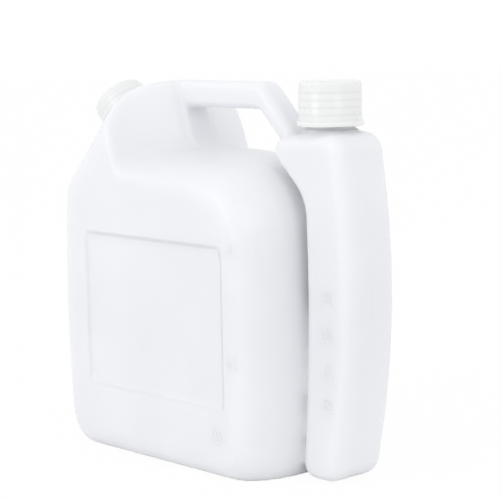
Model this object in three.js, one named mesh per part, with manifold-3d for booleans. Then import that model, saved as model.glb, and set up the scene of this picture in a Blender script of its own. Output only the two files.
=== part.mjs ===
// Fuel mixing bottle: a blow-moulded can with a deep main tank, a slim measuring chamber beside it,
// one hollow carrying handle over both, and two screw caps with sealing liners.
// Millimetres, +Z up, front face towards -Y, main tank at the left and measuring chamber at the right.
import * as THREE from 'three';
import { mergeVertices } from 'three/addons/utils/BufferGeometryUtils.js';
import Module from 'manifold-3d';

const wasm = await Module();
wasm.setup();

// Moulded wall and clearances
const WALL = 1.5;
const SEAT_GAP = 0.25;
const CAP_CLEARANCE = 0.35;

// Main tank, sizes on the mid-plane between the two mould halves
const TANK_WIDTH = 191.4;
const TANK_DEPTH = 119.2;
const TANK_TOP_FALL = 3.5;
const TANK_CORNER = 42;
const TANK_FOOT_CORNER = 21;
const SIDE_BARREL = 3.2;
const CROWN_SHARE = 0.21;
const CROWN_POWER = 2.4;
const CROWN_HEIGHT = 95;
const BASE_TRIM = 8.2;

// Filling column at the tank's upper left, with the slope that carries the filling neck
const SLOPE_ANGLE = 47.3;
const SLOPE_DROP = 14.4;
const SLOPE_CORNER = 22;
const COLUMN_REACH = 73.7;
const COLUMN_LEAN = 14.5;
const COLUMN_CORNER = 11;

// Scoops that clear the knuckles on both faces
const SCOOP_FLARE = 21;
const SCOOP_CORNER = 13;
const SCOOP_DROP = 1.2;
const SCOOP_OVERRUN = 1.02;

// Label panel sunk into the front and back faces
const PANEL_WIDTH = 131.5;
const PANEL_HEIGHT = 100.5;
const PANEL_CENTRE_X = 4.8;
const PANEL_BOTTOM = 43.8;
const PANEL_CORNER = 9;
const PANEL_SINK = 1.6;
const PANEL_SLOPE = 2.2;

// Handle and the leg that runs down from it to the measuring chamber
const HANDLE_TOP = 240.6;
const HANDLE_RISE = 46.1;
const HANDLE_HEIGHT = 16.6;
const HANDLE_DEPTH = 20;
const HANDLE_CHAMFER = 3.2;
const LEG_THICKNESS = 12.4;
const LEG_ANGLE = 46;
const LEG_SET_IN = 48.6;
const LEG_PINCH = 8;
const HANDLE_BEND = 9;
const HANDLE_INNER_BEND = 7;
const HANDLE_BLEND = 0.2;
const LEG_RUN = 48;

// Measuring chamber
const CHAMBER_GAP = 6.3;
const CHAMBER_WIDTH = 38.2;
const CHAMBER_DEPTH = 43.2;
const CHAMBER_DROP = 27.8;
const CHAMBER_FOOT = 0.4;
const CHAMBER_HEEL_CORNER = 9.5;
const CHAMBER_TOE_CORNER = 12;
const CHAMBER_SHOULDER_CORNER = 12.5;
const CHAMBER_TIP_CORNER = 7.6;
const CHAMBER_TIP_LEAN = 3;
const CHAMBER_INNER_BEND = 28;
const CHAMBER_INNER_BOW = 2.4;
const CHAMBER_EDGE_X = 7;
const CHAMBER_EDGE_Y = 9;
const CHAMBER_ARC = 9.3;
const CHAMBER_TUCK = 5.5;
const CHAMBER_TOE = 3.6;
const CHAMBER_HIP = 2.4;
const CHAMBER_REACH = 27;
const CHAMBER_FALL = 4;
const CHAMBER_TIP_DROP = 15.8;
const CHAMBER_LEDGE_DROP = 42;
const WEB_THICKNESS = 2.4;
const WEB_FOOT = 12;
const WEB_ROOT = 14;

// Necks and caps
const NECK_RADIUS = 16;
const NECK_WAIST = 15.1;
const NECK_BORE = 13.4;
const CAP_TOP_WALL = 1.8;
const LINER_THICKNESS = 1.2;
const LARGE_CAP_RADIUS = 19.15;
const LARGE_CAP_HEIGHT = 26.9;
const LARGE_CAP_BEAD = 1.1;
const LARGE_CAP_BEAD_HEIGHT = 3;
const LARGE_NECK_RISE = 3;
const LARGE_NECK_SET_IN = 4.2;
const LARGE_NECK_SINK = 0.4;
const LARGE_BORE_DEPTH = 12;
const LARGE_NECK_ROOT = 6;
const LARGE_NECK_FLARE = 4;
const SMALL_CAP_RADIUS = 18.7;
const SMALL_CAP_HEIGHT = 25;
const SMALL_NECK_RISE = 3;
const SMALL_BOSS_HEIGHT = 4.5;
const SMALL_BOSS_SPREAD = 4.5;
const SMALL_NECK_ALONG = 34.4;
const CAP_SKIRT = 1.55;
const CAP_EDGE = 2;
const ROUND_SEGMENTS = 48;

const COLOURS = {
  bottle: 0xeceef4,
  cap: 0xdfe1e2,
  liner: 0xf4f4f2,
};

const radians = THREE.MathUtils.degToRad;

// Turns a closed geometry into a solid that can be joined and cut
function solidOf(geometry) {
  const bare = geometry.clone();
  bare.deleteAttribute('normal');
  bare.deleteAttribute('uv');
  const merged = mergeVertices(bare, 1e-3);
  const corners = [];
  for (let i = 0; i < merged.index.count; i += 3) {
    const [a, b, c] = merged.index.array.slice(i, i + 3);
    if (a !== b && b !== c && c !== a) corners.push(a, b, c);
  }
  const mesh = new wasm.Mesh({
    numProp: 3,
    vertProperties: new Float32Array(merged.attributes.position.array),
    triVerts: new Uint32Array(corners),
  });
  return new wasm.Manifold(mesh);
}

// Turns a solid back into a geometry for a mesh
function geometryOf(solid) {
  const mesh = solid.getMesh();
  const geometry = new THREE.BufferGeometry();
  geometry.setAttribute('position', new THREE.BufferAttribute(new Float32Array(mesh.vertProperties), 3));
  geometry.setIndex(new THREE.BufferAttribute(new Uint32Array(mesh.triVerts), 1));
  geometry.computeVertexNormals();
  return geometry;
}

// Closed outline through corners { x, z, r, bulge }, anticlockwise seen from the front.
// r rounds the corner, and bulge bows the side that leaves it outwards in short steps.
function roundedOutline(corners) {
  const rounded = corners.map((corner, i) => {
    const here = new THREE.Vector2(corner.x, corner.z);
    const before = corners.at(i - 1);
    const after = corners[(i + 1) % corners.length];
    const back = new THREE.Vector2(before.x, before.z).sub(here).normalize();
    const on = new THREE.Vector2(after.x, after.z).sub(here).normalize();
    const half = Math.acos(THREE.MathUtils.clamp(back.dot(on), -1, 1)) / 2;
    const reach = corner.r / Math.tan(half);
    const centre = back.clone().add(on).normalize().multiplyScalar(corner.r / Math.sin(half)).add(here);
    return {
      start: back.multiplyScalar(reach).add(here),
      end: on.clone().multiplyScalar(reach).add(here),
      centre,
      radius: corner.r,
      clockwise: back.cross(on) > 0,
      bulge: corner.bulge ?? 0,
    };
  });
  const shape = new THREE.Shape();
  rounded.forEach((corner, i) => {
    const { start, end, centre, radius } = corner;
    const inwards = new THREE.Vector2().subVectors(start, centre);
    const turn = inwards.cross(new THREE.Vector2().subVectors(end, centre));
    if (i === 0) shape.moveTo(start.x, start.y);
    else shape.lineTo(start.x, start.y);
    const from = Math.atan2(start.y - centre.y, start.x - centre.x);
    const to = Math.atan2(end.y - centre.y, end.x - centre.x);
    shape.absarc(centre.x, centre.y, radius, from, to, turn < 0);
    if (corner.bulge) bowedSide(shape, end, rounded[(i + 1) % rounded.length].start, corner.bulge);
  });
  return shape;
}

// Adds a side that bows outwards by bulge at its middle
function bowedSide(shape, from, to, bulge) {
  const along = new THREE.Vector2().subVectors(to, from);
  const outward = new THREE.Vector2(along.y, -along.x).normalize();
  const steps = 6;
  for (let i = 1; i < steps; i++) {
    const t = i / steps;
    const rise = 4 * bulge * t * (1 - t);
    shape.lineTo(from.x + along.x * t + outward.x * rise, from.y + along.y * t + outward.y * rise);
  }
}

// Extrudes an X-Z outline evenly about the mid-plane
function slab(shape, depth, { edgeX = 0, edgeY = 0, edgeSteps = 3, arcSteps = 4, steps = 1 } = {}) {
  const geometry = new THREE.ExtrudeGeometry(shape, {
    depth: depth - 2 * edgeY,
    steps,
    curveSegments: arcSteps,
    bevelEnabled: edgeY > 0,
    bevelThickness: edgeY,
    bevelSize: edgeX,
    bevelOffset: -edgeX,
    bevelSegments: edgeSteps,
  });
  geometry.translate(0, 0, -(depth / 2 - edgeY));
  geometry.rotateX(Math.PI / 2);
  return geometry;
}

// Draws every cross-section in towards the centre as it nears the front and back faces
function crown(geometry, halfDepth, share, centre) {
  const position = geometry.attributes.position;
  for (let i = 0; i < position.count; i++) {
    const angle = (position.getY(i) / halfDepth) * (Math.PI / 2);
    const across = Math.sign(angle) * Math.abs(Math.sin(angle)) ** (2 / CROWN_POWER);
    const keep = 1 - share * (1 - Math.max(Math.cos(angle), 0) ** (2 / CROWN_POWER));
    position.setXYZ(
      i,
      centre.x + (position.getX(i) - centre.x) * keep,
      halfDepth * across,
      centre.z + (position.getZ(i) - centre.z) * keep,
    );
  }
  return geometry;
}

// A block between two corners
function block(low, high) {
  const size = high.clone().sub(low);
  const geometry = new THREE.BoxGeometry(size.x, size.y, size.z);
  const middle = low.clone().add(high).multiplyScalar(0.5);
  geometry.translate(middle.x, middle.y, middle.z);
  return solidOf(geometry);
}

// Turns a profile of [radius, height] pairs about +Z
function turned(profile, segments = ROUND_SEGMENTS) {
  const points = profile.map(([radius, height]) => new THREE.Vector2(radius, height));
  const geometry = new THREE.LatheGeometry(points, segments);
  geometry.rotateX(Math.PI / 2);
  return geometry;
}

const halfWidth = TANK_WIDTH / 2;
const halfDepth = TANK_DEPTH / 2;
const slope = Math.tan(radians(SLOPE_ANGLE));
const tankTop = HANDLE_TOP - HANDLE_RISE;
const slopeStart = tankTop - SLOPE_DROP;
const columnRight = COLUMN_REACH - halfWidth;
const chamberInner = halfWidth + CHAMBER_GAP;
const chamberShoulder = HANDLE_TOP - CHAMBER_DROP;
const chamberTip = chamberShoulder - CHAMBER_TIP_DROP;
const chamberLedge = chamberShoulder - CHAMBER_LEDGE_DROP;
const legTopX = chamberInner - LEG_SET_IN;
const largeNeckX = chamberInner + LARGE_NECK_SET_IN;
const largeNeckFoot = chamberShoulder - LARGE_NECK_SINK;

// The tank and its filling column in one outline; inset moves every wall inwards
function tankOutline(inset) {
  const top = HANDLE_TOP - inset;
  const slopeShift = inset / Math.cos(radians(SLOPE_ANGLE));
  const slopeAt = (x) => slopeStart + slope * (x + halfWidth) - slopeShift;
  const side = halfWidth - inset;
  const crestX = (top - slopeStart + slopeShift) / slope - halfWidth;
  return roundedOutline([
    { x: -side, z: -BASE_TRIM + inset, r: TANK_FOOT_CORNER - inset },
    { x: side, z: -BASE_TRIM + inset, r: TANK_FOOT_CORNER - inset, bulge: SIDE_BARREL },
    { x: side, z: tankTop - TANK_TOP_FALL - inset, r: TANK_CORNER - inset },
    { x: columnRight + COLUMN_LEAN - inset, z: tankTop + TANK_TOP_FALL - inset, r: SCOOP_CORNER + inset },
    { x: columnRight - inset, z: top, r: COLUMN_CORNER - inset },
    { x: crestX, z: top, r: COLUMN_CORNER - inset },
    { x: -side, z: slopeAt(-side), r: SLOPE_CORNER, bulge: SIDE_BARREL },
  ]);
}

// Tank block with crowned faces, its standing base cut flat
function tankBlock(inset) {
  const depth = TANK_DEPTH - 2 * inset;
  const shell = slab(tankOutline(inset), depth, { steps: 14 });
  const body = solidOf(crown(shell, depth / 2, CROWN_SHARE, { x: 0, z: CROWN_HEIGHT }));
  const far = TANK_WIDTH;
  return body.subtract(block(new THREE.Vector3(-far, -far, -far), new THREE.Vector3(far, far, inset)));
}

// The two knuckle scoops, one on each face, left open above and to the right.
// Their floor follows the crowned tank top and their wall flares out towards the faces.
function scoops(inset) {
  const left = columnRight + COLUMN_LEAN - inset;
  const floor = tankTop + TANK_TOP_FALL - SCOOP_DROP - inset;
  const right = halfWidth + TANK_CORNER;
  const roof = HANDLE_TOP + TANK_CORNER;
  const outline = roundedOutline([
    { x: left, z: floor, r: SCOOP_CORNER },
    { x: right, z: floor, r: 1 },
    { x: right, z: roof, r: 1 },
    { x: left - 2 * COLUMN_LEAN, z: roof, r: 1 },
  ]);
  const cutter = slab(outline, TANK_DEPTH, { steps: 18 });
  crown(cutter, halfDepth, CROWN_SHARE, { x: 0, z: CROWN_HEIGHT });
  const position = cutter.attributes.position;
  const start = HANDLE_DEPTH / 2;
  for (let i = 0; i < position.count; i++) {
    const share = THREE.MathUtils.clamp((Math.abs(position.getY(i)) - start) / (halfDepth - start), 0, 1);
    position.setX(i, position.getX(i) - SCOOP_FLARE * Math.sin(share * Math.PI / 2));
  }
  cutter.scale(1, SCOOP_OVERRUN, 1);
  const low = new THREE.Vector3(-TANK_WIDTH, -start + inset, 0);
  return solidOf(cutter).subtract(block(low, new THREE.Vector3(2 * TANK_WIDTH, start - inset, 2 * roof)));
}

// Handle and leg in one bar, its edges chamfered as the mould has them
function handleBar(inset) {
  const fall = Math.tan(radians(LEG_ANGLE));
  const lean = LEG_THICKNESS / Math.sin(radians(LEG_ANGLE));
  const top = HANDLE_TOP - inset;
  const under = HANDLE_TOP - HANDLE_HEIGHT + inset;
  const legTop = (z) => legTopX + (HANDLE_TOP - z) / fall - inset / Math.sin(radians(LEG_ANGLE));
  const legUnder = (z) => legTop(z) - lean + (2 * inset) / Math.sin(radians(LEG_ANGLE));
  const start = columnRight - COLUMN_CORNER;
  const end = HANDLE_TOP - LEG_RUN;
  const outline = roundedOutline([
    { x: start, z: under, r: HANDLE_CHAMFER + HANDLE_BLEND },
    { x: legUnder(under), z: under, r: HANDLE_INNER_BEND },
    { x: legUnder(end), z: end, r: HANDLE_CHAMFER + HANDLE_BLEND },
    { x: legTop(end), z: end, r: HANDLE_CHAMFER + HANDLE_BLEND },
    { x: legTop(top), z: top, r: HANDLE_BEND },
    { x: start, z: top, r: HANDLE_CHAMFER + HANDLE_BLEND },
  ]);
  return slab(outline, HANDLE_DEPTH - 2 * inset, {
    edgeX: HANDLE_CHAMFER, edgeY: HANDLE_CHAMFER, edgeSteps: 1, arcSteps: 3,
  });
}

// Measuring chamber: inner wall a constant gap from the tank, outer wall one long arc
function chamberBlock(inset) {
  const inner = chamberInner;
  const outer = inner + CHAMBER_WIDTH - CHAMBER_ARC;
  const tip = inner - CHAMBER_REACH + inset;
  const toe = outer - CHAMBER_TOE - inset;
  const ledge = chamberLedge - 0.4 * inset;
  const outline = roundedOutline([
    { x: inner - CHAMBER_TUCK + inset, z: CHAMBER_FOOT + inset, r: CHAMBER_HEEL_CORNER - inset },
    { x: toe, z: CHAMBER_FOOT + inset, r: CHAMBER_TOE_CORNER - inset, bulge: CHAMBER_ARC },
    { x: outer + CHAMBER_HIP - inset, z: chamberShoulder - inset, r: CHAMBER_SHOULDER_CORNER - inset },
    { x: tip + CHAMBER_TIP_LEAN, z: chamberShoulder - CHAMBER_FALL - inset, r: CHAMBER_TIP_CORNER - inset },
    { x: tip, z: chamberTip + 0.4 * inset, r: CHAMBER_TIP_CORNER - inset },
    { x: inner + inset, z: ledge, r: CHAMBER_INNER_BEND + inset, bulge: -CHAMBER_INNER_BOW },
  ]);
  const edge = { edgeX: CHAMBER_EDGE_X - inset, edgeY: CHAMBER_EDGE_Y - inset, edgeSteps: 4 };
  return solidOf(slab(outline, CHAMBER_DEPTH - 2 * inset, edge));
}

// Thin web of pinched wall that ties the chamber to the tank on the mid-plane
function tieWeb() {
  const inner = chamberInner;
  const outline = roundedOutline([
    { x: halfWidth - WEB_ROOT, z: WEB_FOOT, r: 1 },
    { x: inner, z: WEB_FOOT, r: 1 },
    { x: inner + WALL, z: chamberLedge, r: 1 },
    { x: inner - WEB_ROOT, z: chamberLedge + WEB_ROOT + WALL, r: 1 },
    { x: halfWidth - WEB_ROOT - WALL, z: tankTop - WEB_ROOT - WALL, r: 1 },
  ]);
  return solidOf(slab(outline, WEB_THICKNESS, { arcSteps: 1 }));
}

// Shallow tray that sinks the label panel into one face
function panelTray(side) {
  const left = PANEL_CENTRE_X - PANEL_WIDTH / 2;
  const right = PANEL_CENTRE_X + PANEL_WIDTH / 2;
  const top = PANEL_BOTTOM + PANEL_HEIGHT;
  const outline = roundedOutline([
    { x: left, z: PANEL_BOTTOM, r: PANEL_CORNER },
    { x: right, z: PANEL_BOTTOM, r: PANEL_CORNER },
    { x: right, z: top, r: PANEL_CORNER },
    { x: left, z: top, r: PANEL_CORNER },
  ]);
  const tray = slab(outline, 4 * PANEL_SINK, {
    edgeX: PANEL_SLOPE, edgeY: PANEL_SINK, edgeSteps: 2, arcSteps: 3,
  });
  tray.translate(0, side * (halfDepth + PANEL_SINK), 0);
  return solidOf(tray);
}

// Places what is built about +Z on the large neck's axis
function onLargeNeck(item) {
  return item.translate(largeNeckX, 0, largeNeckFoot);
}

// Places what is built about +Z on the small neck's axis, square to the slope
function onSmallNeck(item, turn) {
  const angle = radians(SLOPE_ANGLE);
  const x = -halfWidth + SMALL_NECK_ALONG * Math.cos(angle);
  const z = slopeStart + SMALL_NECK_ALONG * Math.sin(angle);
  return turn(item, -angle).translate(x, 0, z);
}

const turnGeometry = (geometry, angle) => geometry.rotateY(angle);

// Neck with a waist above its foot, rising to the rim
function neckSolid(rim, foot, footRadius) {
  return turned([
    [0, foot],
    [footRadius, foot],
    [NECK_WAIST + 1, 0],
    [NECK_WAIST, 0.9],
    [NECK_WAIST, 2],
    [NECK_RADIUS, 3],
    [NECK_RADIUS, rim - 0.6],
    [NECK_RADIUS - 0.6, rim],
    [0, rim],
  ]);
}

const smallRise = SMALL_BOSS_HEIGHT + SMALL_NECK_RISE;
const rimBelowTop = CAP_TOP_WALL + LINER_THICKNESS + 2 * SEAT_GAP;
const largeRim = LARGE_NECK_RISE + LARGE_CAP_HEIGHT - rimBelowTop;
const smallRim = SMALL_NECK_RISE + SMALL_CAP_HEIGHT - rimBelowTop;

// Conical boss under the small neck
function smallBoss(inset) {
  const foot = -2 * SMALL_BOSS_SPREAD;
  const wide = NECK_WAIST + SMALL_BOSS_SPREAD - inset;
  return turned([
    [0, foot],
    [wide, foot],
    [wide, 0],
    [NECK_WAIST + 2 - inset, SMALL_BOSS_HEIGHT - inset],
    [0, SMALL_BOSS_HEIGHT - inset],
  ]);
}

// Bore through a neck, from below its foot to past its rim
function neckBore(rim, foot) {
  return turned([
    [0, foot],
    [NECK_BORE, foot],
    [NECK_BORE, rim + 5],
    [0, rim + 5],
  ]);
}

// The whole hollow bottle, blown in one piece
function bottleSolid() {
  const handle = solidOf(handleBar(0));
  const smallNeck = neckSolid(smallRim, -SMALL_BOSS_HEIGHT, NECK_WAIST + 1);
  const outside = tankBlock(0)
    .subtract(scoops(0))
    .add(handle)
    .add(chamberBlock(0))
    .add(tieWeb())
    .add(solidOf(onLargeNeck(neckSolid(largeRim, -LARGE_NECK_ROOT, NECK_WAIST + LARGE_NECK_FLARE))))
    .add(solidOf(onSmallNeck(smallBoss(0), turnGeometry)))
    .add(solidOf(onSmallNeck(smallNeck.translate(0, 0, SMALL_BOSS_HEIGHT), turnGeometry)))
    .subtract(panelTray(-1))
    .subtract(panelTray(1));
  const pinchLow = new THREE.Vector3(legTopX + LEG_PINCH, -halfDepth, 0);
  const pinchHigh = new THREE.Vector3(3 * halfWidth, halfDepth, 2 * HANDLE_TOP);
  const handleHollow = solidOf(handleBar(WALL)).subtract(block(pinchLow, pinchHigh));
  const tankHollow = tankBlock(WALL)
    .subtract(scoops(WALL))
    .add(handleHollow)
    .add(solidOf(onSmallNeck(smallBoss(WALL), turnGeometry)))
    .add(solidOf(onSmallNeck(neckBore(smallRim + SMALL_BOSS_HEIGHT, -SMALL_BOSS_HEIGHT), turnGeometry)));
  const chamberHollow = chamberBlock(WALL).add(solidOf(onLargeNeck(neckBore(largeRim, -LARGE_BORE_DEPTH))));
  const panelBack = panelBacking(-1).add(panelBacking(1));
  return outside.subtract(tankHollow.subtract(panelBack)).subtract(chamberHollow);
}

// Wall behind a sunk panel, so that the tray doesn't thin it
function panelBacking(side) {
  const reach = PANEL_WIDTH / 2 + WALL;
  const top = PANEL_BOTTOM + PANEL_HEIGHT + WALL;
  const low = new THREE.Vector3(PANEL_CENTRE_X - reach, 0, PANEL_BOTTOM - WALL);
  const high = new THREE.Vector3(PANEL_CENTRE_X + reach, 0, top);
  low.y = side < 0 ? -halfDepth : halfDepth - WALL - PANEL_SINK;
  high.y = side < 0 ? -halfDepth + WALL + PANEL_SINK : halfDepth;
  return block(low, high);
}

// Screw cap: plain skirt, optional bead at its lower edge, rounded top edge
function capGeometry({ radius, height, bead = 0, beadHeight = 0 }) {
  const bore = radius - CAP_SKIRT;
  const taper = 0.3;
  const roof = height - CAP_TOP_WALL;
  const edge = [30, 60, 90].map((angle) => [
    radius - taper - CAP_EDGE + CAP_EDGE * Math.cos(radians(angle)),
    height - CAP_EDGE + CAP_EDGE * Math.sin(radians(angle)),
  ]);
  const skirt = bead
    ? [[radius + bead, 0], [radius + bead, beadHeight - 0.4], [radius, beadHeight]]
    : [[radius, 0]];
  return turned([
    [0, roof],
    [bore - 0.4, roof],
    [bore, roof - 1],
    [bore, 0],
    ...skirt,
    [radius - taper, height - CAP_EDGE],
    ...edge,
    [0, height],
  ]);
}

// Soft disc that seals the cap against the neck rim
function linerGeometry(capRadius, capHeight) {
  const radius = capRadius - CAP_SKIRT - 0.4 - CAP_CLEARANCE;
  const top = capHeight - CAP_TOP_WALL - SEAT_GAP;
  return turned([
    [0, top - LINER_THICKNESS],
    [radius, top - LINER_THICKNESS],
    [radius, top],
    [0, top],
  ]);
}

function piece(name, geometry, colour, roughness) {
  const bare = geometry.clone();
  bare.deleteAttribute('uv');
  const material = new THREE.MeshStandardMaterial({ color: colour, roughness, metalness: 0 });
  const mesh = new THREE.Mesh(bare, material);
  mesh.name = name;
  return mesh;
}

const largeCap = capGeometry({
  radius: LARGE_CAP_RADIUS,
  height: LARGE_CAP_HEIGHT,
  bead: LARGE_CAP_BEAD,
  beadHeight: LARGE_CAP_BEAD_HEIGHT,
});
const smallCap = capGeometry({ radius: SMALL_CAP_RADIUS, height: SMALL_CAP_HEIGHT });
const largeLiner = linerGeometry(LARGE_CAP_RADIUS, LARGE_CAP_HEIGHT);
const smallLiner = linerGeometry(SMALL_CAP_RADIUS, SMALL_CAP_HEIGHT);

const assembly = new THREE.Group();
assembly.add(piece('bottle', geometryOf(bottleSolid()), COLOURS.bottle, 0.5));
for (const [name, geometry, colour, roughness] of [
  ['large_cap', largeCap, COLOURS.cap, 0.35],
  ['large_cap_liner', largeLiner, COLOURS.liner, 0.7],
]) {
  assembly.add(piece(name, onLargeNeck(geometry.translate(0, 0, LARGE_NECK_RISE)), colour, roughness));
}
for (const [name, geometry, colour, roughness] of [
  ['small_cap', smallCap, COLOURS.cap, 0.35],
  ['small_cap_liner', smallLiner, COLOURS.liner, 0.7],
]) {
  const seated = onSmallNeck(geometry.translate(0, 0, smallRise), turnGeometry);
  assembly.add(piece(name, seated, colour, roughness));
}

// The row's origin is the centre of the whole bottle's footprint, on the standing base
const bounds = new THREE.Box3().setFromObject(assembly);
const middle = bounds.getCenter(new THREE.Vector3());
assembly.position.set(-middle.x, -middle.y, -bounds.min.z);

const model = new THREE.Group();
model.add(assembly);

export default model;
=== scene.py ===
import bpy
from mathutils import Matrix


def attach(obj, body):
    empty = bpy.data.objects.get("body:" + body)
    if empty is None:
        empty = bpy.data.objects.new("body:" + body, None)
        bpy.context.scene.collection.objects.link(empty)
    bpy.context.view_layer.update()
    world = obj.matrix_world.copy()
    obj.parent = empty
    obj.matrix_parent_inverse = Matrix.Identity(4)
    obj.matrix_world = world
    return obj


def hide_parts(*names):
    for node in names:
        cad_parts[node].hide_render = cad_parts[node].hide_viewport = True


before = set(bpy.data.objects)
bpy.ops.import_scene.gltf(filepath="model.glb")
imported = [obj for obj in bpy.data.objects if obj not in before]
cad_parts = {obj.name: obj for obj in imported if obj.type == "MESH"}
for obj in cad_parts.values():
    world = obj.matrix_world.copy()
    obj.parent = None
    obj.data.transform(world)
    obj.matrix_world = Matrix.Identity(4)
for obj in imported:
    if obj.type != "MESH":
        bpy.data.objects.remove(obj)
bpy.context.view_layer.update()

import math
import bmesh
import bpy
from mathutils import Matrix, Vector
from mathutils.bvhtree import BVHTree

MM = 0.001
scene = bpy.context.scene
scene.view_settings.view_transform = "Standard"

# Camera at the photograph's viewpoint, right of the front face and a little above it.
# Its matrix columns are the image's right, the image's up and the way back to the camera.
turn, dip, roll = math.radians(47.36), math.radians(7.79), math.radians(1.19)
forward = Vector((-math.sin(turn) * math.cos(dip), math.cos(turn) * math.cos(dip), -math.sin(dip)))
level = Vector((math.cos(turn), math.sin(turn), 0))
down = forward.cross(level)
image_right = math.cos(roll) * level + math.sin(roll) * down
image_down = -math.sin(roll) * level + math.cos(roll) * down
lens = bpy.data.cameras.new("camera")
lens.lens = 124.28
lens.sensor_width = 36
lens.sensor_fit = "HORIZONTAL"
lens.clip_end = 20
camera = bpy.data.objects.new("camera", lens)
scene.collection.objects.link(camera)
pose = Matrix((image_right, -image_down, -forward)).transposed().to_4x4()
camera.matrix_world = Matrix.Translation((0.818347, -0.7381, 0.2826)) @ pose
scene.camera = camera


# Studio: a white surround, a pale paper floor and two large soft lamps, one high at the front
# and a weaker one at the right, so that the front stays pale and the end wall greyer.
class Value:
    """A number that varies over a surface, for shader sums."""

    def __init__(self, tree, socket):
        self.tree = tree
        self.socket = socket

    def sum(self, operation, *others, flip=False):
        values = [self, *others]
        if flip:
            values.reverse()
        node = self.tree.nodes.new("ShaderNodeMath")
        node.operation = operation
        for slot, value in zip(node.inputs, values):
            if isinstance(value, Value):
                self.tree.links.new(value.socket, slot)
            else:
                slot.default_value = value
        return Value(self.tree, node.outputs[0])

    def __add__(self, other):
        return self.sum("ADD", other)

    def __sub__(self, other):
        return self.sum("SUBTRACT", other)

    def __mul__(self, other):
        return self.sum("MULTIPLY", other)

    def __rsub__(self, other):
        return self.sum("SUBTRACT", other, flip=True)

    __radd__ = __add__
    __rmul__ = __mul__


class Finish:
    """A material, with one method that adds any node to it."""

    def __init__(self, name, world=None):
        self.material = world or bpy.data.materials.new(name)
        self.material.use_nodes = True
        self.tree = self.material.node_tree
        self.tree.nodes.clear()

    def node(self, kind, settings=None, output=0, **values):
        node = self.tree.nodes.new(kind)
        stops = (settings or {}).pop("stops", None)
        for key, value in (settings or {}).items():
            setattr(node, key, value)
        if stops:
            ramp = node.color_ramp.elements
            while len(ramp) < len(stops):
                ramp.new(0.5)
            for element, (place, colour) in zip(ramp, stops):
                element.position = place
                element.color = colour
        for key, value in values.items():
            slot = node.inputs[int(key[1:])] if key[0] == "i" and key[1:].isdigit() else \
                node.inputs[key.replace("_", " ")]
            if isinstance(value, Value):
                self.tree.links.new(value.socket, slot)
            else:
                slot.default_value = value
        return Value(self.tree, node.outputs[output]) if node.outputs else None


def seen_white(finish):
    """1 for rays from the camera, mirrors and glass, 0 for rays that only light things."""
    path = finish.node("ShaderNodeLightPath")
    outputs = path.socket.node.outputs
    camera_ray, glossy_ray, glass_ray = (
        Value(finish.tree, outputs[f"Is {kind} Ray"]) for kind in ("Camera", "Glossy", "Transmission"))
    return camera_ray.sum("MAXIMUM", glossy_ray).sum("MAXIMUM", glass_ray)


surround = Finish("surround", bpy.data.worlds.new("surround"))
scene.world = surround.material
soft = surround.node("ShaderNodeBackground", Color=(1.0, 1.0, 1.0, 1), Strength=0.97)
white = surround.node("ShaderNodeBackground", Color=(1.0, 1.0, 1.0, 1), Strength=1.0)
both = surround.node("ShaderNodeMixShader", i0=seen_white(surround), i1=soft, i2=white)
surround.node("ShaderNodeOutputWorld", Surface=both)


LAMP_SIZE = 0.8
LAMP_AIM = Vector((0, 0, 0.12))


def lamp(name, place, power):
    """A round soft lamp that looks at the middle of the bottle."""
    light = bpy.data.lights.new(name, "AREA")
    light.shape = "DISK"
    light.size = LAMP_SIZE
    light.energy = power
    holder = bpy.data.objects.new(name, light)
    holder.location = place
    holder.rotation_euler = (LAMP_AIM - Vector(place)).to_track_quat("-Z", "Y").to_euler()
    scene.collection.objects.link(holder)


lamp("key_lamp", (-0.35, -1.6, 1.0), 4.0)
lamp("side_lamp", (1.6, -0.5, 0.9), 2.0)

FLOOR_REACH = 6
FLOOR_GLOW = 0.95
sheet = bmesh.new()
bmesh.ops.create_grid(sheet, x_segments=2, y_segments=2, size=FLOOR_REACH)
floor_mesh = bpy.data.meshes.new("floor")
sheet.to_mesh(floor_mesh)
sheet.free()
floor = bpy.data.objects.new("floor", floor_mesh)
scene.collection.objects.link(floor)
paper = Finish("floor_paper")
lie = paper.node("ShaderNodeTexCoord", output=3)
grain = paper.node("ShaderNodeTexNoise", Vector=lie, Scale=60.0, Detail=2.0)
tone = paper.node("ShaderNodeValToRGB", {"stops": [
    (0.3, (0.9, 0.9, 0.9, 1)), (0.7, (0.93, 0.93, 0.93, 1))]}, Fac=grain)
plain = paper.node("ShaderNodeBsdfPrincipled", Base_Color=tone, Roughness=0.9)
glow = paper.node("ShaderNodeEmission", Color=(1.0, 1.0, 1.0, 1), Strength=1.0)
lit = paper.node("ShaderNodeMixShader", i0=seen_white(paper) * FLOOR_GLOW, i1=plain, i2=glow)
paper.node("ShaderNodeOutputMaterial", Surface=lit)
floor_mesh.materials.append(paper.material)


def add_piece(name, mesh, body, finish, smooth=True):
    """A finished piece at the origin, riding on its body."""
    for polygon in mesh.polygons:
        polygon.use_smooth = smooth
    mesh.materials.clear()
    mesh.materials.append(finish.material)
    piece = bpy.data.objects.new(name, mesh)
    scene.collection.objects.link(piece)
    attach(piece, body)
    return piece


# Bottle skin: one blow-moulded shell of natural polyethylene, tank, chamber, handle and leg together.
# The blown corners are soft, so the solid's outer face is drawn again in a fine even mesh and
# opened at the two neck feet. The inner face of the wall is a piece of its own.
NECKS = {
    "large": (Vector((90.347, 0, 212.4)) * MM, Vector((0, 0, 1))),
    "small": (Vector((-88.224, 0, 205.381)) * MM, Vector((-0.734915, 0, 0.67816))),
}
BORE = 13.4 * MM
BORE_SLACK = 0.15 * MM
BORE_DEPTH = 5 * MM
NECK_FOOT = {"large": 0.6 * MM, "small": 4.6 * MM}
NECK_ROOM = 20.5 * MM
NECK_HOLE = 17.5 * MM
SKIN_GRAIN = 1.6 * MM


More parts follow.
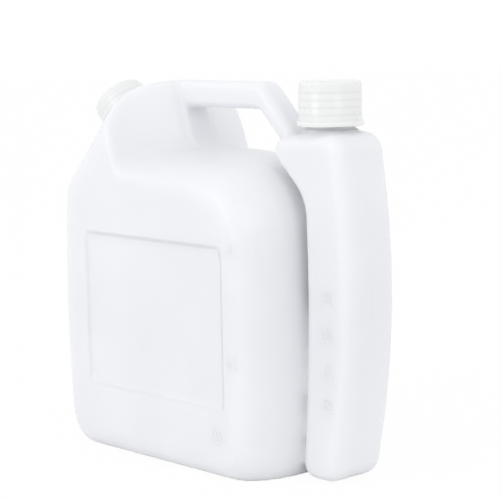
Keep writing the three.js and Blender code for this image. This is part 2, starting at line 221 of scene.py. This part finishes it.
def along_and_off(point, neck):
    """How far a point is along a neck's axis, and off it."""
    foot, axis = NECKS[neck]
    reach = (point - foot).dot(axis)
    return reach, (point - foot - axis * reach).length


skin = bmesh.new()
skin.from_mesh(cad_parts["bottle"].data)
bmesh.ops.remove_doubles(skin, verts=skin.verts[:], dist=1e-6)


def on_bore(point, neck):
    reach, off = along_and_off(point, neck)
    return abs(off - BORE) < BORE_SLACK and reach > -BORE_DEPTH


bore_faces = [face for face in skin.faces if any(all(on_bore(v.co, neck) for v in face.verts) for neck in NECKS)]
bmesh.ops.delete(skin, geom=bore_faces, context="FACES")
skin.verts.index_update()
outermost = max(skin.verts, key=lambda v: v.co.x)
outer, queue = {outermost}, [outermost]
while queue:
    for edge in queue.pop().link_edges:
        for vert in edge.verts:
            if vert not in outer:
                outer.add(vert)
                queue.append(vert)
lining = skin.copy()
lining.verts.ensure_lookup_table()
bmesh.ops.delete(lining, geom=[lining.verts[v.index] for v in outer], context="VERTS")
bmesh.ops.delete(skin, geom=[v for v in skin.verts if v not in outer], context="VERTS")
bmesh.ops.holes_fill(skin, edges=[e for e in skin.edges if e.is_boundary], sides=0)
skin_mesh = bpy.data.meshes.new("bottle_skin")
skin.to_mesh(skin_mesh)
skin.free()
draft = bpy.data.objects.new("skin_draft", skin_mesh)
scene.collection.objects.link(draft)
even = draft.modifiers.new("even", "REMESH")
even.mode = "VOXEL"
even.voxel_size = SKIN_GRAIN
relax = draft.modifiers.new("relax", "SMOOTH")
relax.factor = 0.5
relax.iterations = 4
blown = bpy.data.meshes.new_from_object(draft.evaluated_get(bpy.context.evaluated_depsgraph_get()))
bpy.data.objects.remove(draft)

skin = bmesh.new()
skin.from_mesh(blown)
for neck, (foot, axis) in NECKS.items():
    level_at = foot + axis * NECK_FOOT[neck]
    near = []
    for v in skin.verts:
        reach, off = along_and_off(v.co, neck)
        if off < NECK_ROOM and reach > NECK_FOOT[neck] - 6 * MM:
            near.append(v)
    patch = {f for v in near for f in v.link_faces}
    edges = {e for f in patch for e in f.edges}
    verts = {v for f in patch for v in f.verts}
    bmesh.ops.bisect_plane(skin, geom=[*verts, *edges, *patch], plane_co=level_at, plane_no=axis)
    above = []
    for face in skin.faces:
        reach, off = along_and_off(face.calc_center_median(), neck)
        if reach > NECK_FOOT[neck] and off < NECK_HOLE:
            above.append(face)
    bmesh.ops.delete(skin, geom=above, context="FACES")
bmesh.ops.delete(skin, geom=[v for v in skin.verts if not v.link_faces], context="VERTS")
skin.normal_update()
touch = BVHTree.FromBMesh(skin)
skin.to_mesh(blown)
skin.free()

PANEL_MIDDLE = (-0.01105, 0.09405)
PANEL_HALF = (0.0655, 0.0500)
PANEL_ROUND = 0.006
FACE_FROM = 0.054
LEDGE_SLOPE = 420
SEAM_SLOPE = 2500

milky = Finish("natural_polyethylene")
where = milky.node("ShaderNodeTexCoord", output=3)
axes = milky.node("ShaderNodeSeparateXYZ", i0=where)
beside, across, height = (Value(milky.tree, output) for output in axes.socket.node.outputs)
cloud = milky.node("ShaderNodeTexNoise", Vector=where, Scale=14.0, Detail=3.0)
tint = milky.node("ShaderNodeValToRGB", {"stops": [
    (0.3, (0.80, 0.808, 0.838, 1)), (0.7, (0.84, 0.848, 0.873, 1))]}, Fac=cloud)
peel = milky.node("ShaderNodeTexNoise", Vector=where, Scale=420.0, Detail=2.0)
seam = (1 - across.sum("ABSOLUTE") * SEAM_SLOPE).sum("MAXIMUM", 0.0)
out_x = (beside - PANEL_MIDDLE[0]).sum("ABSOLUTE") - PANEL_HALF[0]
out_z = (height - PANEL_MIDDLE[1]).sum("ABSOLUTE") - PANEL_HALF[1]
on_face = (across.sum("ABSOLUTE") - FACE_FROM).sum("GREATER_THAN", 0.0)
out_of_panel = out_x.sum("SMOOTH_MAX", out_z, PANEL_ROUND)
sunk = (0.5 - out_of_panel * LEDGE_SLOPE).sum("MAXIMUM", 0.0).sum("MINIMUM", 1.0) * on_face
ledge = milky.node("ShaderNodeBump", Strength=0.9, Distance=0.0013, Height=1 - sunk)
relief = milky.node("ShaderNodeBump", Normal=ledge, Strength=0.25, Distance=0.0004,
                    Height=peel * 0.22 + cloud * 0.8 + seam * 0.7)
sheen = peel * 0.10 + 0.34
plastic = milky.node(
    "ShaderNodeBsdfPrincipled", {"subsurface_method": "RANDOM_WALK"}, Base_Color=tint, Roughness=sheen, Normal=relief,
    Subsurface_Weight=0.45, Subsurface_Radius=(1.0, 1.0, 1.05), Subsurface_Scale=0.008, IOR=1.5,
)
milky.node("ShaderNodeOutputMaterial", Surface=plastic)
bottle_skin = add_piece("bottle_skin", blown, "bottle_body", milky)
lining_mesh = bpy.data.meshes.new("bottle_lining")
lining.to_mesh(lining_mesh)
lining.free()
lining_piece = add_piece("bottle_lining", lining_mesh, "bottle_body", milky, smooth=False)
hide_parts("bottle")
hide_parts("bottle")


# Necks: the two threaded mouths, moulded with the bottle. Each is a turned wall with a waist at its
# foot, a smooth rim and one right-hand thread ridge of 4.4 mm pitch.
NECK_OUT = 16.0 * MM
WAIST = 15.1 * MM
PITCH = 4.4 * MM
RIMS = {"large": 26.4 * MM, "small": 29.0 * MM}
THREAD_START = {"large": 6.5 * MM, "small": 9.5 * MM}
THREAD_TURNS = 3.2
THREAD_HEIGHT = 0.9 * MM
THREAD_SINK = 0.2 * MM
ROOT_HALF, CREST_HALF = 0.9 * MM, 0.3 * MM


def spun(profile, steps):
    """A bmesh turned about +Z from (radius, height) pairs."""
    bm = bmesh.new()
    chain = [bm.verts.new((radius, 0, rise)) for radius, rise in profile]
    for a, b in zip(chain, chain[1:]):
        bm.edges.new((a, b))
    bmesh.ops.spin(bm, geom=bm.verts[:] + bm.edges[:], cent=(0, 0, 0), axis=(0, 0, 1),
                   angle=math.tau, steps=steps, use_merge=True)
    bmesh.ops.remove_doubles(bm, verts=bm.verts[:], dist=1e-6)
    bmesh.ops.recalc_face_normals(bm, faces=bm.faces[:])
    return bm


def onto_neck(bm, neck):
    """Stands what was turned about +Z on a neck's axis."""
    foot, axis = NECKS[neck]
    lean = Vector((0, 0, 1)).rotation_difference(axis).to_matrix()
    bmesh.ops.rotate(bm, cent=(0, 0, 0), matrix=lean, verts=bm.verts[:])
    bmesh.ops.translate(bm, vec=foot, verts=bm.verts[:])


def mesh_from(bm, name):
    mesh = bpy.data.meshes.new(name)
    bm.to_mesh(mesh)
    bm.free()
    return mesh


for neck, rim in RIMS.items():
    low = NECK_FOOT[neck]
    waist_top = low + 2.6 * MM
    ring = spun([
        (BORE, low - 4 * MM),
        (WAIST + 1.6 * MM, low - 1.2 * MM),
        (WAIST + 0.7 * MM, low + 0.1 * MM),
        (WAIST, low + 0.9 * MM),
        (WAIST, waist_top - 0.6 * MM),
        (NECK_OUT, waist_top),
        (NECK_OUT, rim - 0.6 * MM),
        (NECK_OUT - 0.2 * MM, rim - 0.2 * MM),
        (NECK_OUT - 0.6 * MM, rim),
        (BORE + 0.4 * MM, rim),
        (BORE, rim - 0.4 * MM),
        (BORE, low - 4 * MM),
    ], 96)
    onto_neck(ring, neck)
    add_piece(f"{neck}_neck", mesh_from(ring, f"{neck}_neck"), "bottle_body", milky)

    ridge = bmesh.new()
    start, steps = THREAD_START[neck], 32
    root, crest = NECK_OUT - THREAD_SINK, NECK_OUT + THREAD_HEIGHT
    corners = [(root, start - ROOT_HALF), (crest, start - CREST_HALF),
               (crest, start + CREST_HALF), (root, start + ROOT_HALF)]
    loop = [ridge.verts.new((radius, 0, rise)) for radius, rise in corners]
    ridge.faces.new(loop)
    count = int(THREAD_TURNS * steps)
    bmesh.ops.spin(ridge, geom=ridge.verts[:] + ridge.edges[:] + ridge.faces[:], cent=(0, 0, 0),
                   axis=(0, 0, 1), dvec=(0, 0, PITCH / steps), angle=math.tau * count / steps, steps=count)
    bmesh.ops.recalc_face_normals(ridge, faces=ridge.faces[:])
    onto_neck(ridge, neck)
    add_piece(f"{neck}_thread", mesh_from(ridge, f"{neck}_thread"), "bottle_body", milky,
              smooth=False)


# Screw caps: turned shells of natural polypropylene, the large one with a bead round its lower edge.
# The inner thread shows through the thin wall as faint level bands, so the caps carry it inside too, and their colour
# carries the bands as painted shade.
CAPS = {
    "large": {"radius": 19.15, "height": 26.9, "foot": 3.0, "bead": 1.1, "body": "large_cap_body"},
    "small": {"radius": 18.7, "height": 25.0, "foot": 7.5, "bead": 0.0, "body": "small_cap_body"},
}
CAP_WALL, CAP_ROOF, CAP_EDGE = 1.55, 1.8, 2.0
INNER_THREAD, INNER_TURNS = 0.55, 4
SHARPER_THAN = math.radians(50)


def cap_finish(neck):
    """Semi-gloss natural polypropylene, with painted shade in faint bands where the thread lies behind the wall, and
    random speckle tone.
    """
    finish = Finish(f"{neck}_cap_polypropylene")
    place = finish.node("ShaderNodeTexCoord", output=3)
    foot, axis = NECKS[neck]
    rise = finish.node("ShaderNodeVectorMath", {"operation": "DOT_PRODUCT"}, output=1, i0=place, i1=tuple(axis))
    rise = rise - foot.dot(axis)
    # Sine bands at the thread pitch, used for the painted thread shade in the colour and for the ripple bump.
    thread_shade_and_ripple_band = (rise * (math.tau / PITCH)).sum("SINE") * 0.5 + 0.5
    above_skirt = (rise - (CAPS[neck]["foot"] + 3.5) * MM).sum("GREATER_THAN", 0.0)
    below_roof = ((CAPS[neck]["foot"] + CAPS[neck]["height"] - 5.5) * MM - rise).sum("GREATER_THAN", 0.0)
    within = above_skirt * below_roof
    speck = finish.node("ShaderNodeTexNoise", Vector=place, Scale=90.0, Detail=3.0)
    # Painted shade: the colour darkens in level bands where the inner thread lies behind the wall; the speckle
    # darkening is random tone.
    speck_tone_and_painted_thread_shade = finish.node("ShaderNodeValToRGB", {"stops": [
        (0.0, (0.70, 0.705, 0.71, 1)), (1.0, (0.835, 0.84, 0.845, 1))]},
        Fac=1 - within * thread_shade_and_ripple_band.sum("POWER", 3.0) * 0.4 - speck * 0.15)
    ripple = finish.node("ShaderNodeBump", Strength=0.3, Distance=0.0003, Height=within * thread_shade_and_ripple_band * -0.35 + speck * 0.3)
    gloss = speck * 0.12 + 0.2
    shell = finish.node(
        "ShaderNodeBsdfPrincipled", {"subsurface_method": "RANDOM_WALK"}, Base_Color=speck_tone_and_painted_thread_shade, Roughness=gloss,
        Normal=ripple, Subsurface_Weight=0.3, Subsurface_Radius=(1.0, 1.0, 1.0), Subsurface_Scale=0.002, IOR=1.49,
    )
    finish.node("ShaderNodeOutputMaterial", Surface=shell)
    return finish


for neck, cap in CAPS.items():
    radius, tall, foot = cap["radius"], cap["height"], cap["foot"]
    bore, roof = radius - CAP_WALL, tall - CAP_ROOF
    outline = [(0.0, roof), (bore - 0.4, roof), (bore, roof - 1.0)]
    crest = bore - INNER_THREAD
    for turn_index in range(INNER_TURNS):
        rise_at = roof - 4.0 - turn_index * 4.4
        outline += [(bore, rise_at + 0.9), (crest, rise_at + 0.3), (crest, rise_at - 0.3), (bore, rise_at - 0.9)]
    outline += [(bore, 0.4), (bore + 0.3, 0.0)]
    if cap["bead"]:
        wide = radius + cap["bead"]
        outline += [(wide - 0.5, 0.0), (wide - 0.15, 0.15), (wide, 0.6), (wide, 2.3), (wide - 0.2, 2.75),
                    (radius + 0.4, 3.0), (radius + 0.05, 3.3)]
    else:
        outline += [(radius - 0.4, 0.0), (radius - 0.1, 0.12), (radius, 0.5)]
    for degrees in range(0, 91, 15):
        bend = math.radians(degrees)
        outline.append((radius - 0.3 - CAP_EDGE + CAP_EDGE * math.cos(bend),
                        tall - CAP_EDGE + CAP_EDGE * math.sin(bend)))
    outline += [(8.0, tall), (0.0, tall)]
    shell = spun([(r * MM, (h + foot) * MM) for r, h in outline], 96)
    onto_neck(shell, neck)
    lid = add_piece(f"{neck}_cap_shell", mesh_from(shell, f"{neck}_cap_shell"), cap["body"],
                    cap_finish(neck))
    crease = lid.modifiers.new("crease", "EDGE_SPLIT")
    crease.split_angle = SHARPER_THAN
    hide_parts(f"{neck}_cap")


# Liners: soft white foam discs, pressed into the roof of each cap, that seal it on its neck's rim.
# They keep the shape of the solid, and get their foam here.
foam = Finish("liner_foam")
spot = foam.node("ShaderNodeTexCoord", output=3)
cells = foam.node("ShaderNodeTexVoronoi", Vector=spot, Scale=1600.0)
pale = foam.node("ShaderNodeValToRGB", {"stops": [
    (0.1, (0.80, 0.80, 0.77, 1)), (0.7, (0.87, 0.87, 0.85, 1))]}, Fac=cells)
dimples = foam.node("ShaderNodeBump", Strength=0.3, Distance=0.0001, Height=cells)
pad = foam.node("ShaderNodeBsdfPrincipled", Base_Color=pale, Roughness=0.8, Normal=dimples)
foam.node("ShaderNodeOutputMaterial", Surface=pad)
for neck in NECKS:
    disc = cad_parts[f"{neck}_cap_liner"]
    disc.data.materials.clear()
    disc.data.materials.append(foam.material)


# Marks: raised ticks and plain numbers, moulded with the bottle. Litres stand right of the panel
# on the tank, millilitres on the front of the measuring chamber.
MARK_PROUD = 0.24 * MM
MARK_ROOT = 0.4 * MM
TICK_THICK = 0.8 * MM
NUMBER_LIFT = 1.2 * MM


def face_behind(x, z):
    """Depth of the front surface at that place."""
    hit = touch.ray_cast(Vector((x, -0.2, z)), Vector((0, 1, 0)))[0]
    return hit.y if hit else None


def lay_on_front(mesh, x, z):
    """Wraps a flat mark, drawn in X and Y, onto the front surface, standing proud of it."""
    top = max(v.co.z for v in mesh.vertices)
    for v in mesh.vertices:
        depth = face_behind(x + v.co.x, z + v.co.y)
        if depth is None:
            depth = face_behind(x, z)
        out = MARK_PROUD if v.co.z > top / 2 else -MARK_ROOT
        v.co = Vector((x + v.co.x, depth - out, z + v.co.y))


moulded = Finish("mark_polyethylene")
mark_where = moulded.node("ShaderNodeTexCoord", output=3)
mark_cloud = moulded.node("ShaderNodeTexNoise", Vector=mark_where, Scale=14.0, Detail=3.0)
mark_tint = moulded.node("ShaderNodeValToRGB", {"stops": [
    (0.3, (0.82, 0.828, 0.855, 1)), (0.7, (0.86, 0.866, 0.89, 1))]}, Fac=mark_cloud)
mark_skin = moulded.node("ShaderNodeBsdfPrincipled", Base_Color=mark_tint, Roughness=0.4, IOR=1.5)
moulded.node("ShaderNodeOutputMaterial", Surface=mark_skin)


def raised_mark(name, words, x, z, tall, tick):
    """A number over its tick, both standing a little proud of the wall."""
    text = bpy.data.curves.new(name, "FONT")
    text.body = words
    text.size = tall
    text.extrude = 0.3 * MM
    text.align_x = "CENTER"
    text.align_y = "BOTTOM"
    writing = bpy.data.objects.new(name, text)
    number = bpy.data.meshes.new_from_object(writing)
    bpy.data.objects.remove(writing)
    bm = bmesh.new()
    bm.from_mesh(number)
    for _ in range(2):
        long = [e for e in bm.edges if e.calc_length() > 1.2 * MM]
        bmesh.ops.subdivide_edges(bm, edges=long, cuts=1)
    bmesh.ops.translate(bm, vec=(tick / 2, NUMBER_LIFT, 0), verts=bm.verts[:])
    bar = bmesh.ops.create_grid(bm, x_segments=8, y_segments=1, size=0.5)["verts"]
    bmesh.ops.scale(bm, vec=(tick, TICK_THICK, 1), verts=bar)
    bmesh.ops.translate(bm, vec=(tick / 2, 0, -0.3 * MM), verts=bar)
    bar_faces = [f for f in bm.faces if all(v in bar for v in f.verts)]
    lifted = bmesh.ops.extrude_face_region(bm, geom=bar_faces)
    raised = [part for part in lifted["geom"] if isinstance(part, bmesh.types.BMVert)]
    bmesh.ops.translate(bm, vec=(0, 0, 0.6 * MM), verts=raised)
    bmesh.ops.triangulate(bm, faces=bm.faces[:])
    bmesh.ops.recalc_face_normals(bm, faces=bm.faces[:])
    mesh = mesh_from(bm, name)
    lay_on_front(mesh, x, z)
    add_piece(name, mesh, "bottle_body", moulded, smooth=False)


for words, x, z in (("3", 58.5, 141.0), ("1.5", 57.5, 71.0), ("0.5", 44.0, 24.0)):
    raised_mark("litre_mark_" + words.replace(".", "_"), words, x * MM, z * MM, 7.5 * MM, 9 * MM)
for words, z in (("125", 111.0), ("100", 88.8), ("75", 66.8), ("50", 46.2)):
    raised_mark("millilitre_mark_" + words, words, 100.5 * MM, z * MM, 6.5 * MM, 10 * MM)
